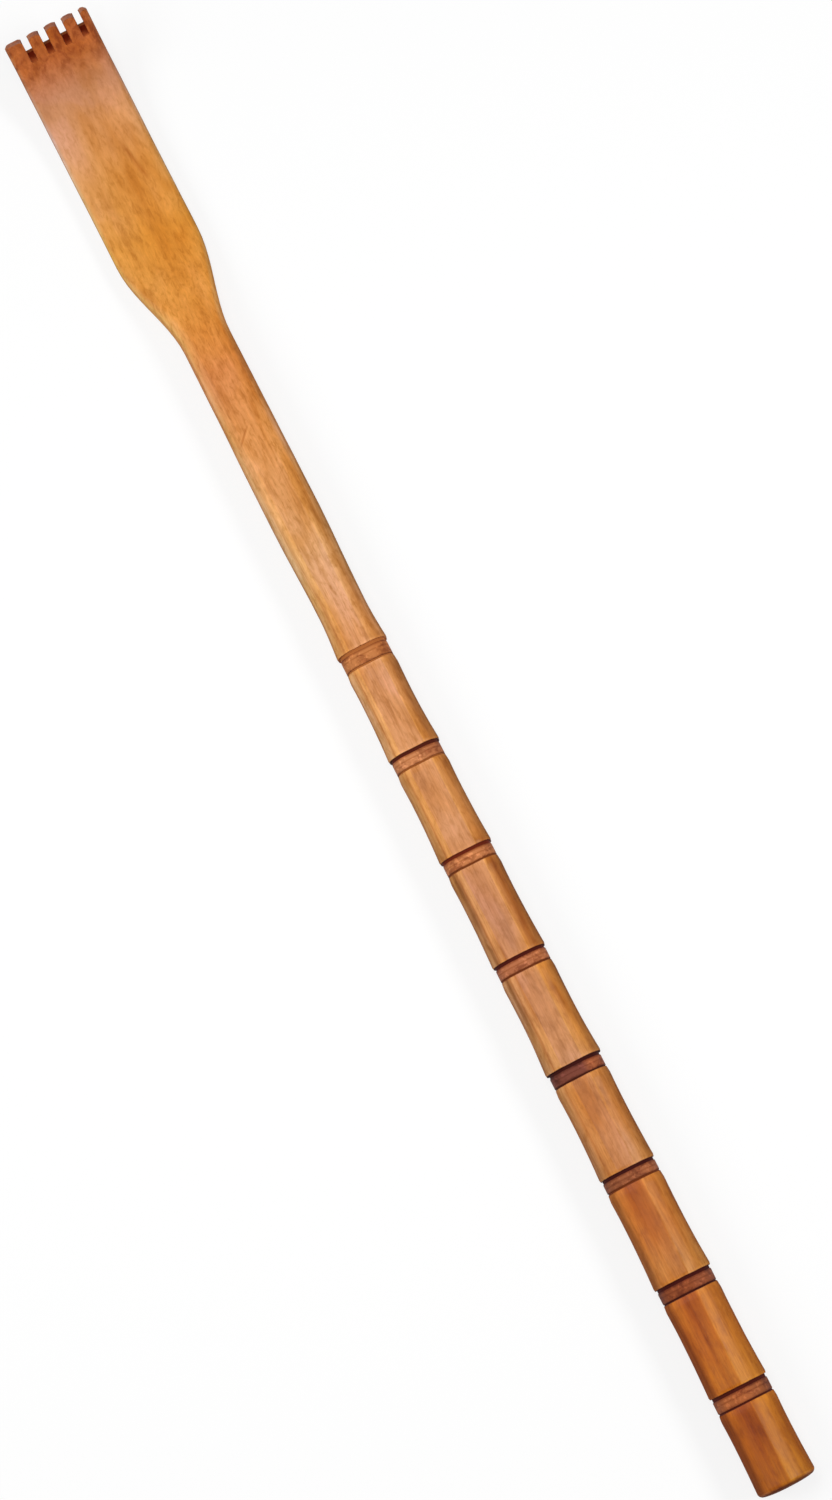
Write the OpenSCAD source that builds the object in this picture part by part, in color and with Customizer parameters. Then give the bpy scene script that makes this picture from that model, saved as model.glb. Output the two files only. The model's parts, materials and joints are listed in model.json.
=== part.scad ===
// Carved wooden back scratcher with a handle cut to look like bamboo.
// It lies on its back: +X runs toward the claws, and the claws curl up toward +Z.
// The origin is under the middle of its length, on the surface that it lies on.

/* [Overall] */
// Length from the butt of the handle to the tips of the claws
overall_length = 500; // [470:5:560]

/* [Head] */
// Width of the flat blade
blade_width = 29; // [26:0.5:36]
// Length of the head, from the tips of the claws to the start of the shoulders
blade_length = 76; // [66:1:90]
// Thickness of the blade where it is flat
blade_thickness = 6; // [5:0.25:8]
// Rounding along the edges of the blade
blade_edge = 1; // [0.6:0.1:1.2]
// Length over which the shoulders narrow to the neck
shoulder_length = 36; // [24:1:46]

/* [Claws] */
// Angle that the claws curl up to
curl_angle = 45; // [30:1:55]
// Radius of the curl, at the middle of the thickness
curl_radius = 40; // [30:1:46]
// Straight length of the claws past the curl
claw_length = 10; // [8:0.5:13]
// Thickness of the claws at their tips
claw_thickness = 4.5; // [4:0.25:5.5]
// Rounding of the tips
claw_round = 1.2; // [0.8:0.1:1.6]
// Number of claws
claw_count = 5; // [3:1:5]
// Distance from one slot to the next
slot_pitch = 6; // [5:0.25:6.5]
// Width of the slots between the claws
slot_width = 2; // [1.5:0.1:2.5]
// Depth of the slots on the hollow side
slot_depth = 8.5; // [7:0.25:10]
// Lean of the slot floors, which are cut deeper on the hollow side
slot_lean = 30; // [0:1:35]
// Distance of the row of slots from the middle of the blade
slot_offset = 1.3; // [0:0.1:1.5]

/* [Shaft] */
// Width of the neck below the shoulders
neck_width = 16; // [14:0.25:18]
// Thickness of the neck
neck_thickness = 10; // [8:0.25:12]
// Bevel along the edges of the neck
neck_bevel = 2.2; // [1.5:0.1:2.6]
// Height of the underside of the neck above the surface
neck_rise = 2; // [1:0.25:4]
// Width of the shaft at its fullest
shaft_width = 16.6; // [15:0.2:19]
// Distance of the fullest place of the shaft from the first groove
shaft_full_at = 46; // [40:1:56]
// Length of the flare above the first groove
shaft_flare = 14; // [8:1:20]

/* [Handle] */
// Width of the handle at the first groove
handle_head_width = 15.6; // [14:0.2:18]
// Width of the handle at the butt
handle_butt_width = 18.2; // [16:0.2:21]
// Thickness of the handle at the first groove
handle_head_thickness = 13; // [12:0.25:15]
// Thickness of the handle at the butt
handle_butt_thickness = 16.5; // [15:0.25:19]
// Bevel along the edges at the first groove
bevel_head = 3; // [2:0.25:3.5]
// Bevel along the edges at the butt
bevel_butt = 2.5; // [2:0.25:3]
// Rounding of the edges at the first groove
edge_head = 1.2; // [1:0.1:1.6]
// Rounding of the edges at the butt
edge_butt = 4.5; // [3:0.25:5]
// Flare of each segment toward the groove below it, on each side
lip_flare = 0.55; // [0.4:0.05:0.9]
// Flare of each segment toward the groove above it, on each side
heel_flare = 0.3; // [0.1:0.05:0.5]
// Flare of the last segment toward the butt end, on each side
butt_flare = 0.25; // [0.1:0.05:0.5]
// Length of the domed butt end
butt_dome = 3; // [2:0.25:5]

/* [Grooves] */
// Number of grooves
groove_count = 8; // [6:1:8]
// Distance from one groove to the next
groove_pitch = 35.5; // [32:0.5:37]
// Distance of the last groove from the butt end
end_segment = 30; // [26:0.5:34]
// Width of each groove
groove_width = 4.4; // [3.6:0.1:5.5]
// Depth of each groove below the lip beside it
groove_depth = 1.15; // [1:0.05:1.4]
// Thickness of the band in each groove
band_thickness = 0.55; // [0.4:0.05:0.7]
// Gap beside the band, on each side
band_gap = 0.5; // [0.3:0.05:0.8]
// Clearance between a band and the floor of its groove
band_clearance = 0.05; // [0.02:0.01:0.1]

/* [Hidden] */

wood_colour = [0.80, 0.53, 0.27];
band_colour = [0.55, 0.30, 0.22];

// A section is an octagon with round corners, and each corner has this many points
corner_points = 4;
corner_angle = 45;
// Least flat that is left between the corners of a section
least_flat = 0.1;
// Change of a 45 degree bevel for each unit that a section is offset
bevel_offset = 2 - sqrt(2);
// Share of a segment's length, from its head end, at which it is narrowest
waist_share = 0.4;
// Room that the slot cutters take past the claws
cut_room = 20;

// Shares and angles at which the sections along each stretch stand
segment_steps = [1, 0.88, 0.76, 0.64, 0.52, 0.4, 0.25, 0.12, 0];
flare_steps = [0, 0.15, 0.3, 0.5, 0.75];
shaft_steps = [0, 0.25, 0.5, 0.75];
shoulder_steps = [0:0.1:0.95];
blade_steps = [0, 0.5];
curl_steps = [0:1 / 12:1];
dome_angles = [15:15:75];
round_angles = [0:30:90];

x_butt = -overall_length / 2;
x_tip = overall_length / 2;
x_shaft = groove_x(1) + groove_width / 2;
x_full = x_shaft + shaft_full_at;
x_blade = x_tip - blade_length;
x_neck = x_blade - shoulder_length;

// The back edge of the rounded tips reaches furthest along X
curl_arc = curl_radius * curl_angle * PI / 180;
tip_reaches = [for (a = round_angles) round_along(a) * cos(curl_angle) + round_half(a) * sin(curl_angle)];
x_curl = x_tip - curl_radius * sin(curl_angle) - max(tip_reaches);
z_curl = blade_thickness / 2;

// Knots, each a place and a value, for the curves along the body
width_knots = [
    [x_butt, handle_butt_width],
    [x_shaft, handle_head_width],
    [x_shaft + shaft_flare, handle_head_width],
    [x_full, shaft_width],
    [x_neck, neck_width],
    [x_blade, blade_width]
];
thickness_knots = [
    [x_butt, handle_butt_thickness],
    [x_shaft, handle_head_thickness],
    [x_neck, neck_thickness],
    [x_blade, blade_thickness]
];
underside_knots = [[x_shaft, lip_flare], [x_neck, neck_rise], [x_blade, 0]];
bevel_knots = [[x_butt, bevel_butt], [x_shaft, bevel_head], [x_neck, neck_bevel], [x_blade, blade_edge]];
edge_knots = [[x_butt, edge_butt], [x_shaft, edge_head], [x_blade, blade_edge]];

function band_name(i) = str("groove_band_", i);
function groove_x(i) = x_butt + end_segment + (groove_count - i) * groove_pitch;

function mix(a, b, share) = a + (b - a) * share;
function ease(share) = share * share * (3 - 2 * share);
function share_of(x, x0, x1) = min(max((x - x0) / (x1 - x0), 0), 1);

// Value at x of a curve that eases from each knot to the next
function curve(knots, x, i = 0) =
    i == len(knots) - 2 || x <= knots[i + 1][0]
        ? mix(knots[i][1], knots[i + 1][1], ease(share_of(x, knots[i][0], knots[i + 1][0])))
        : curve(knots, x, i + 1);

// The handle tapers evenly, and the shaft and head follow their curves
function along(knots, x) =
    x < x_shaft
        ? mix(knots[0][1], knots[1][1], share_of(x, x_butt, x_shaft))
        : curve(knots, x, 1);

function half_width(x) = along(width_knots, x) / 2;
function half_thickness(x) = along(thickness_knots, x) / 2;
function middle_z(x) = curve(underside_knots, x) + half_thickness(x);

// Extra size of a segment, on each side, by the share of its length from its head end
function flare(share, heel, lip) =
    share < waist_share
        ? heel * pow(1 - share / waist_share, 2)
        : lip * pow((share - waist_share) / (1 - waist_share), 2);

// Claws: half thickness at a distance along the curl, and the rounding of the tips
function claw_half(s) = mix(blade_thickness, claw_thickness, s / (curl_arc + claw_length)) / 2;
function round_along(a) = claw_length - claw_round * (1 - sin(a));
function round_half(a) = claw_half(curl_arc + round_along(a)) - claw_round * (1 - cos(a));

// Outline of a section: half width, half thickness, bevel and corner radius
function outline(size) =
    let (
        r = min(size[3], size[1] - 2 * least_flat),
        w = size[0] - r,
        t = size[1] - r,
        k = min(size[2], t - least_flat),
        corners = [
            [w, t - k], [w - k, t], [k - w, t], [-w, t - k],
            [-w, k - t], [k - w, -t], [w - k, -t], [w, k - t]
        ]
    )
    [for (i = [0:len(corners) - 1]) for (j = [0:corner_points - 1])
        let (a = corner_angle * (i + j / (corner_points - 1)))
        corners[i] + r * [cos(a), sin(a)]];

// Size of the section at x, offset outward on each side
function size_at(x, extra) = [
    half_width(x) + extra,
    half_thickness(x) + extra,
    along(bevel_knots, x) + bevel_offset * extra,
    along(edge_knots, x)
];

// Stations: place along X, height, tilt and section
function level(x, extra = 0) = [x, middle_z(x), 0, size_at(x, extra)];
function floor_level(i, side) =
    let (x = groove_x(i))
    [x + side * groove_width / 2, middle_z(x), 0, size_at(x, lip_flare - groove_depth)];
function curled(angle, along, inset, half) = [
    x_curl + curl_radius * sin(angle) + along * cos(angle),
    z_curl + curl_radius * (1 - cos(angle)) + along * sin(angle),
    angle,
    [blade_width / 2 - inset, half, blade_edge, blade_edge]
];

dome_stations = [for (a = dome_angles)
    let (
        x = x_butt + butt_dome * (cos(dome_angles[0]) - cos(a)) / cos(dome_angles[0]),
        full = size_at(x_butt + butt_dome, butt_flare)
    )
    [x, middle_z(x_butt + butt_dome), 0, full * sin(a)]];

function segment_stations(i) =
    let (
        last = i == groove_count,
        x0 = last ? x_butt + butt_dome : groove_x(i + 1) + groove_width / 2,
        x1 = groove_x(i) - groove_width / 2
    )
    [for (s = segment_steps)
        level(mix(x1, x0, s), flare(s, heel_flare, last ? butt_flare : lip_flare))];

handle_stations = [for (i = [groove_count:-1:1])
    each concat(segment_stations(i), [floor_level(i, -1), floor_level(i, 1)])];

shaft_stations = concat(
    [for (s = flare_steps) level(x_shaft + s * shaft_flare, lip_flare * pow(1 - s, 2))],
    [for (s = shaft_steps) level(mix(x_shaft + shaft_flare, x_full, s))],
    [for (s = shaft_steps) level(mix(x_full, x_neck, s))]
);

head_stations = concat(
    [for (s = shoulder_steps) level(mix(x_neck, x_blade, s))],
    [for (s = blade_steps) level(mix(x_blade, x_curl, s))],
    [for (s = curl_steps) curled(s * curl_angle, 0, 0, claw_half(s * curl_arc))],
    [for (a = round_angles) curled(curl_angle, round_along(a), claw_round * (1 - cos(a)), round_half(a))]
);

body_stations = concat(dome_stations, handle_stations, shaft_stations, head_stations);

function ring(station) = [for (p = outline(station[3]))
    [station[0] - p[1] * sin(station[2]), p[0], station[1] + p[1] * cos(station[2])]];

// Skin drawn through the sections from the first station to the last, closed at both ends
module loft(stations) {
    rings = [for (s = stations) ring(s)];
    n = len(rings);
    m = len(rings[0]);
    sides = [for (i = [0:n - 2]) for (j = [0:m - 1])
        let (a = i * m + j, b = i * m + (j + 1) % m)
        each [[a + m, b + m, b], [a + m, b, a]]];
    first_end = [for (j = [0:m - 1]) j];
    last_end = [for (j = [m - 1:-1:0]) (n - 1) * m + j];
    polyhedron([for (r = rings) each r], concat([first_end], sides, [last_end]));
}

module slots() {
    tip = curled(curl_angle, claw_length, 0, 0);
    for (k = [0:claw_count - 2]) {
        y = (k - (claw_count - 2) / 2) * slot_pitch - slot_offset;
        translate([tip[0], y, tip[1]])
            rotate([0, -curl_angle, 0])
            translate([-slot_depth, 0, claw_half(curl_arc + claw_length - slot_depth)])
            rotate([0, -slot_lean, 0])
            translate([0, -slot_width / 2, -cut_room])
            cube([cut_room, slot_width, 2 * cut_room]);
    }
}

module carved_body() {
    color(wood_colour)
        difference() {
            loft(body_stations);
            slots();
        }
}

module groove_band(i) {
    x = groove_x(i);
    width = groove_width - 2 * band_gap;
    inner = lip_flare - groove_depth + band_clearance;
    color(band_colour)
        translate([x - width / 2, 0, middle_z(x)])
        rotate([90, 0, 90])
        linear_extrude(width)
        difference() {
            polygon(outline(size_at(x, inner + band_thickness)));
            polygon(outline(size_at(x, inner)));
        }
}

carved_body();
for (i = [1:groove_count])
    groove_band(i);
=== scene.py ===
# Looks of a carved wooden back scratcher with a bamboo-cut handle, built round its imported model
import json
import math

import bmesh
import bpy
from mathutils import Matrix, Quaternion, Vector

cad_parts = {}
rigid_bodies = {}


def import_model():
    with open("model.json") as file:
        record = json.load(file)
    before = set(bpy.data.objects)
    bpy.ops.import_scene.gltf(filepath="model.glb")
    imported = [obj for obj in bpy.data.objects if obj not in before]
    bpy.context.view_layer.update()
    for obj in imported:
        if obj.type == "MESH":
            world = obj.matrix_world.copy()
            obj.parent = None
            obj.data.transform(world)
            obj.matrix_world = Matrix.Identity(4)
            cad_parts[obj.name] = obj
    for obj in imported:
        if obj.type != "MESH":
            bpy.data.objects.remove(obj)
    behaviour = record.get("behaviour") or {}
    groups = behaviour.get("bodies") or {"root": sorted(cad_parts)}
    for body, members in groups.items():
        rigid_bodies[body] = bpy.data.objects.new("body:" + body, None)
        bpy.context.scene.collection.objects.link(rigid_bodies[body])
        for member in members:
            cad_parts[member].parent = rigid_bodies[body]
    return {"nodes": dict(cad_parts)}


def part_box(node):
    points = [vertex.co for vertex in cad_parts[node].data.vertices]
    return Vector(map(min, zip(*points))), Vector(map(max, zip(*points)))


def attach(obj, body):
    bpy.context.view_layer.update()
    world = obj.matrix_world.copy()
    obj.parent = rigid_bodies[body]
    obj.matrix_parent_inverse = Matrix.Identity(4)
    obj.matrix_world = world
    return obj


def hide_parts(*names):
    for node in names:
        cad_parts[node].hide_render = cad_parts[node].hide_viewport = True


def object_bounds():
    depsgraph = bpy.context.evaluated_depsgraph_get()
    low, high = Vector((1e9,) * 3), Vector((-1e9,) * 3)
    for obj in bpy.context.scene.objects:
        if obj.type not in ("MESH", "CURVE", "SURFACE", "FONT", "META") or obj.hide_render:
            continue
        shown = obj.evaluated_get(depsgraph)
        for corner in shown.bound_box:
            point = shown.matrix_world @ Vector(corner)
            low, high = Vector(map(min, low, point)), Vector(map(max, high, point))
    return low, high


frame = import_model()
cadLow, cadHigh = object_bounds()

mm = 0.001
grooveCount = 8
bodyLow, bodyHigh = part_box("carved_body")
bandBoxes = [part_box(f"groove_band_{i + 1}") for i in range(grooveCount)]
print("frame loaded:", len(frame["nodes"]), "nodes")


# small helpers

def mix(a, b, share):
    return a + (b - a) * share


def ease(share):
    return share * share * (3 - 2 * share)


def alongKnots(knots, x):  # value at x on a curve that eases from knot to knot
    if x <= knots[0][0]:
        return knots[0][1]
    for (x0, v0), (x1, v1) in zip(knots, knots[1:]):
        if x <= x1:
            return mix(v0, v1, ease((x - x0) / (x1 - x0)))
    return knots[-1][1]


def clearSelection():
    if bpy.context.object and bpy.context.object.mode != "OBJECT":
        bpy.ops.object.mode_set(mode="OBJECT")
    bpy.ops.object.select_all(action="DESELECT")


def makeActive(piece):
    clearSelection()
    piece.select_set(True)
    bpy.context.view_layer.objects.active = piece


def applyModifier(piece, kind, **settings):
    makeActive(piece)
    modifier = piece.modifiers.new(kind.title(), kind)
    for key, value in settings.items():
        setattr(modifier, key, value)
    bpy.ops.object.modifier_apply(modifier=modifier.name)


def editMesh(piece):
    return bmesh.from_edit_mesh(piece.data)


def selectOnly(piece, chosen):  # chosen vertices, edges or faces, and nothing else
    bpy.ops.mesh.select_all(action="DESELECT")
    for part in chosen:
        part.select_set(True)
    editMesh(piece).select_flush_mode()


# sections: every ring has twenty points in five sets, and one resize puts a set in its place

pointSets = ("side", "bevelSide", "bevelTop", "flatEdge", "flat")
ringCount = 20
ringRadius = 5  # of a new ring in mm, before it gets its section
flatShare = 0.78  # the inner points of a flat, which keep it level out to its edge


def sectionPoints(wide, thick, bevel, corner):  # half sizes; corner is how far each corner is cut off
    cut = corner * math.sqrt(0.5)
    edge = wide - bevel - corner
    return {
        "flat": (edge * flatShare, thick),
        "flatEdge": (edge, thick),
        "bevelTop": (wide - bevel + cut, thick - cut),
        "bevelSide": (wide - cut, thick - bevel + cut),
        "side": (wide, thick - bevel - corner),
    }


def startRing(name, place):
    quarter = math.pi / 2
    clearSelection()
    bpy.ops.mesh.primitive_circle_add(vertices=ringCount, radius=ringRadius * mm, fill_type="NGON",
                                      location=place, rotation=(0, quarter, 0))
    piece = bpy.context.object
    piece.name = piece.data.name = name
    bpy.ops.object.transform_apply(location=True, rotation=True, scale=True)
    bpy.ops.object.mode_set(mode="EDIT")
    bpy.ops.mesh.select_all(action="SELECT")
    bpy.ops.transform.rotate(value=math.pi / ringCount, orient_axis="X", center_override=place)
    bpy.ops.object.mode_set(mode="OBJECT")
    for group in pointSets:
        piece.vertex_groups.new(name=group)
    for point in piece.data.vertices:
        offset = point.co - Vector(place)
        turn = math.atan2(abs(offset.z), abs(offset.y)) / quarter
        group = pointSets[int(turn * len(pointSets))]
        piece.vertex_groups[group].add([point.index], 1, "REPLACE")
    bpy.ops.object.mode_set(mode="EDIT")
    bpy.ops.mesh.select_mode(type="VERT")
    bpy.ops.mesh.select_all(action="SELECT")
    return piece


def turnRing(angle, place):  # leans the top of the ring back; with no window rotate turns the other way
    if angle:
        bpy.ops.transform.rotate(value=angle, orient_axis="Y", center_override=place)


def shapeRing(piece, section, place):
    mesh = editMesh(piece)
    weights = mesh.verts.layers.deform.active
    ring = [v for v in mesh.verts if v.select]
    for group, (y, z) in section.items():
        index = piece.vertex_groups[group].index
        chosen = [v for v in ring if index in v[weights]]
        selectOnly(piece, chosen)
        now = chosen[0].co - Vector(place)
        bpy.ops.transform.resize(value=(1, y * mm / abs(now.y), z * mm / abs(now.z)), center_override=place)
    selectOnly(piece, ring)


# carved body: one ring after another from the butt to the floors of the claw slots
# sizes in mm, angles in degrees

bodyShape = {
    # butt: its rounded rim and its low crown, and the turns and shares at which their rings stand
    "buttRound": 1.6, "buttTurns": (12, 34, 58, 80), "buttCrown": 0.5, "buttShares": (0.3, 0.62),
    "buttFlare": 0.25,
    # segments: each swells from its waist toward the lip below, and less toward the heel above
    "lipFlare": (0.6, 0.56, 0.54, 0.48, 0.7, 0.44, 0.52, 0.48), "lipRise": 0.45, "lipRound": 0.22,
    "heelFlare": 0.32, "heelDrop": 0.3, "heelLength": 2.2, "waist": 0.4,
    "segmentSteps": (0.975, 0.93, 0.85, 0.74, 0.62, 0.5, 0.4, 0.28, 0.17, 0.1, 0.065, 0.03),
    "bevelHead": 3.0, "bevelButt": 5.3, "cornerHead": 1.0, "cornerButt": 2.4,
    # grooves, and how far the edges of each lie from an even spacing, from the head to the butt
    "grooveDepth": 0.25, "grooveGap": 0.5, "wallLean": 0.12,
    "lipShift": (-0.8, -0.7, 0, 0, -0.45, 0.1, -0.1, 0.1),
    "heelShift": (-2.3, -1.5, -0.45, -0.45, -0.85, 0, -0.7, -0.7),
    # shaft and neck, and the rings on each stretch
    "shaftFlare": 14, "flareSteps": (0, 0.05, 0.15, 0.35, 0.6, 0.85), "shaftSteps": (5, 6, 11),
    "shaftFull": 46, "shaftWaist": 7.6, "shaftWide": 8.25, "shaftAside": -0.15, "underside": 0.55,
    "neckWide": 7.95, "neckThick": 5.0, "neckRise": 2, "neckAside": -0.38, "neckBevel": 2.6,
    "neckCorner": 1.3,
    # blade, and the curl that tightens along it
    "shoulder": 36, "bladeLength": 75.6, "bladeInset": 0.3, "bladeThick": 2.95, "bladeUnder": 0.12,
    "bladeBevel": 1.15, "bladeCorner": 0.4, "bladeAside": 0.2,
    "curlAngle": 45, "curlLength": 54, "curlGrowth": 2.4, "curlSteps": 13,
    # claws, the slots between them, and how far back their lines run on the blade
    "clawLength": 9, "clawThick": 2.25, "clawRound": 0.7, "clawSteps": (0.35, 0.65), "tipBack": 1.59,
    "slotPlaces": (-10.3, -4.3, 1.7, 7.7), "slotWide": 2, "slotDepth": 7.6, "slotLean": 30,
    "columnLength": 40,
    # how crisp the edges stay under the smoothing; the facets at the head and at the butt
    "lipCrease": 0.52, "heelCrease": 0.45, "floorCrease": 0.9,
    "facetCreases": {"flatEdge": (0.55, 0.12), "bevelTop": (0.4, 0.05)},
    "slotCrease": 0.62, "slotEdgesFrom": 3, "slotEdgeAngle": 57.3,
}
bevelShare = 2 - math.sqrt(2)  # how a bevel grows when its section grows all round
grooveHalf = (bandBoxes[0][1].x - bandBoxes[0][0].x) / 2 / mm + bodyShape["grooveGap"]
nearRing = 0.1  # mm within which a point counts as on a ring
nearFloor = 0.05  # and a face as on the floor of the slots
nearPoint = 0.001  # and two points as one


def grooveX(i):
    return (bandBoxes[i][0].x + bandBoxes[i][1].x) / 2 / mm


def lipX(i):
    return grooveX(i) + grooveHalf + bodyShape["lipShift"][i]


def heelX(i):
    return grooveX(i) - grooveHalf + bodyShape["heelShift"][i]


def clawStart(shape):  # from the end of the curl to the middle of the slot floors
    lean = math.radians(shape["slotLean"])
    return shape["clawLength"] - shape["slotDepth"] + shape["clawThick"] * math.tan(lean)


def bodyRings(shape):
    xButt, xTip = bodyLow.x / mm, bodyHigh.x / mm
    grooves = [(low + high) / 2 / mm for low, high in bandBoxes]
    sizes = [(high - low) / 2 / mm for low, high in bandBoxes]
    xHead, xLast = grooves[0].x, grooves[-1].x
    segmentLength = xHead - grooves[1].x - 2 * grooveHalf
    xShaft = lipX(0)
    xFlare = xShaft + shape["shaftFlare"]
    xFull = xShaft + shape["shaftFull"]
    xBlade = xTip - shape["bladeLength"]
    xNeck = xBlade - shape["shoulder"]
    bladeWide = bodyHigh.y / mm - shape["bladeInset"]

    wide = [(xShaft, sizes[0].y), (xFlare, shape["shaftWaist"]), (xFull, shape["shaftWide"]),
            (xNeck, shape["neckWide"]), (xBlade, bladeWide)]
    thick = [(xShaft, sizes[0].z), (xNeck, shape["neckThick"]), (xBlade, shape["bladeThick"])]
    under = [(xShaft, shape["underside"]), (xNeck, shape["neckRise"]), (xBlade, shape["bladeUnder"])]
    bevel = [(xShaft, shape["bevelHead"]), (xNeck, shape["neckBevel"]), (xBlade, shape["bladeBevel"])]
    corner = [(xShaft, shape["cornerHead"]), (xNeck, shape["neckCorner"]), (xBlade, shape["bladeCorner"])]
    aside = [(xShaft, 0), (xFull, shape["shaftAside"]), (xNeck, shape["neckAside"]),
             (xBlade, shape["bladeAside"])]

    rings = []

    def addRing(x, z, section, tilt=0, crease=0):
        place = (x * mm, alongKnots(aside, x) * mm, z * mm)
        rings.append({"place": place, "section": section, "tilt": math.radians(tilt), "crease": crease})

    def handleRing(x, extraWide, extraThick, crease=0, scale=1):
        share = (x - xLast) / (xHead - xLast)
        butt = (1 - min(max(share, 0), 1)) ** 2  # the flats stay wide on the upper segments
        swell = bevelShare * min(extraWide, extraThick)
        section = [mix(sizes[-1].y, sizes[0].y, share) + extraWide,
                   mix(sizes[-1].z, sizes[0].z, share) + extraThick,
                   mix(shape["bevelHead"], shape["bevelButt"], butt) + swell,
                   mix(shape["cornerHead"], shape["cornerButt"], butt)]
        z = mix(grooves[-1].z, grooves[0].z, share)
        addRing(x, z, [size * scale for size in section], crease=crease)

    def shaftRing(x, extra=0, crease=0):
        section = [alongKnots(wide, x) + extra, alongKnots(thick, x) + min(extra, shape["lipRise"]),
                   alongKnots(bevel, x) + bevelShare * extra, alongKnots(corner, x)]
        addRing(x, alongKnots(under, x) + alongKnots(thick, x), section, crease=crease)

    def flareAt(share, heel, lip):  # share runs from the head end of a segment
        waist = shape["waist"]
        if share > waist:
            return lip * ((share - waist) / (1 - waist)) ** 2
        drop = shape["heelDrop"] * max(0, 1 - share * segmentLength / shape["heelLength"])
        return heel * (1 - share / waist) ** 2 - drop

    # butt: a low crown and a rounded rim
    butt = shape["buttFlare"]
    rimScale = shape["buttRound"] / sizes[-1].z
    for share in shape["buttShares"]:
        handleRing(xButt + shape["buttCrown"] * share ** 2, butt, butt, scale=share)
    for turn in shape["buttTurns"]:
        angle = math.radians(turn)
        x = xButt + shape["buttCrown"] + shape["buttRound"] * (1 - math.cos(angle))
        handleRing(x, butt, butt, scale=1 - rimScale * (1 - math.sin(angle)))
    xFlat = xButt + shape["buttCrown"] + shape["buttRound"]

    # segments of the handle, each with the groove at its head end
    for i in reversed(range(grooveCount)):
        last = i == grooveCount - 1
        lipWide = butt if last else shape["lipFlare"][i + 1]
        lipThick = butt if last else shape["lipRise"]
        x0 = xFlat if last else lipX(i + 1)
        x1 = heelX(i) - shape["wallLean"]
        heel = shape["heelFlare"]
        edge = 0 if last else shape["lipRound"]
        handleRing(x0, lipWide - edge, lipThick - edge, crease=0 if last else shape["lipCrease"])
        for share in shape["segmentSteps"]:
            handleRing(mix(x1, x0, share), flareAt(share, heel, lipWide), flareAt(share, heel, lipThick))
        handleRing(x1, heel - shape["heelDrop"], heel - shape["heelDrop"], crease=shape["heelCrease"])
        for x in (x1 + 2 * shape["wallLean"], lipX(i)):
            handleRing(x, -shape["grooveDepth"], -shape["grooveDepth"], crease=shape["floorCrease"])

    # shaft, neck and shoulders
    for share in shape["flareSteps"]:
        edge = shape["lipRound"] if share == 0 else 0
        shaftRing(mix(xShaft, xFlare, share), shape["lipFlare"][0] * (1 - share) ** 2 - edge,
                  crease=shape["lipCrease"] if share == 0 else 0)
    stations = (xFlare, xFull, xNeck, xBlade)
    for x0, x1, count in zip(stations, stations[1:], shape["shaftSteps"]):
        for i in range(count):
            shaftRing(mix(x0, x1, i / count))

    # flat blade, then a curl that tightens toward the claws
    count = shape["curlSteps"]
    step = shape["curlLength"] / count
    angles = [shape["curlAngle"] * (i / count) ** shape["curlGrowth"] for i in range(count + 1)]
    slopes = [math.radians(mix(a, b, 0.5)) for a, b in zip(angles, angles[1:])]
    end = math.radians(shape["curlAngle"])
    reach = shape["curlLength"] + shape["clawLength"]
    forward = shape["clawLength"] * math.cos(end) + step * sum(math.cos(s) for s in slopes)
    x = xTip - shape["tipBack"] - forward
    z = shape["bladeThick"] + shape["bladeUnder"]

    def bladeRing(x, z, distance, tilt, stretch=1):
        half = mix(shape["bladeThick"], shape["clawThick"], distance / reach) * stretch
        addRing(x, z, [bladeWide, half, shape["bladeBevel"], shape["bladeCorner"]], tilt=tilt)

    for share in (0, 0.5, 1):
        bladeRing(mix(xBlade, x, share), z, 0, 0)
    for i, slope in enumerate(slopes):
        x += step * math.cos(slope)
        z += step * math.sin(slope)
        bladeRing(x, z, (i + 1) * step, angles[i + 1])
    straight = clawStart(shape)
    stretch = 1 / math.cos(math.radians(shape["slotLean"]))  # the slot floors lean back
    bladeRing(x + straight * math.cos(end), z + straight * math.sin(end), shape["curlLength"] + straight,
              shape["curlAngle"] + shape["slotLean"], stretch)
    return rings


def carveBody(shape):
    rings = bodyRings(shape)
    body = startRing("scratcher_body", rings[0]["place"])
    before = None
    for ring in rings:
        place = ring["place"]
        if before:
            step = Vector(place) - Vector(before["place"])
            bpy.ops.mesh.extrude_region_move(TRANSFORM_OT_translate={"value": step})
            turnRing(-before["tilt"], place)
        shapeRing(body, sectionPoints(*ring["section"]), place)
        turnRing(ring["tilt"], place)
        if ring["crease"]:
            bpy.ops.transform.edge_crease(value=ring["crease"])
        before = ring
    print("body:", len(rings), "rings drawn from the butt to the claws")
    creaseFacets(body, shape)
    return body, rings[-1]


def creaseFacets(body, shape):  # keeps the flats and bevels of the handle crisp, less so toward the butt
    buttEnd = bodyLow.x / mm + shape["buttCrown"] + shape["buttRound"]
    bpy.ops.mesh.select_mode(type="EDGE")
    for number in range(grooveCount):
        xFrom = buttEnd if number == grooveCount - 1 else grooveX(number + 1)
        xTo = grooveX(number)
        for group, creases in shape["facetCreases"].items():
            mesh = editMesh(body)
            weights = mesh.verts.layers.deform.active
            index = body.vertex_groups[group].index
            selectOnly(body, [e for e in mesh.edges if all(
                index in v[weights] and xFrom - nearRing < v.co.x / mm < xTo for v in e.verts)])
            bpy.ops.transform.edge_crease(value=mix(*creases, number / (grooveCount - 1)))
    bpy.ops.mesh.select_mode(type="VERT")


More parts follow.
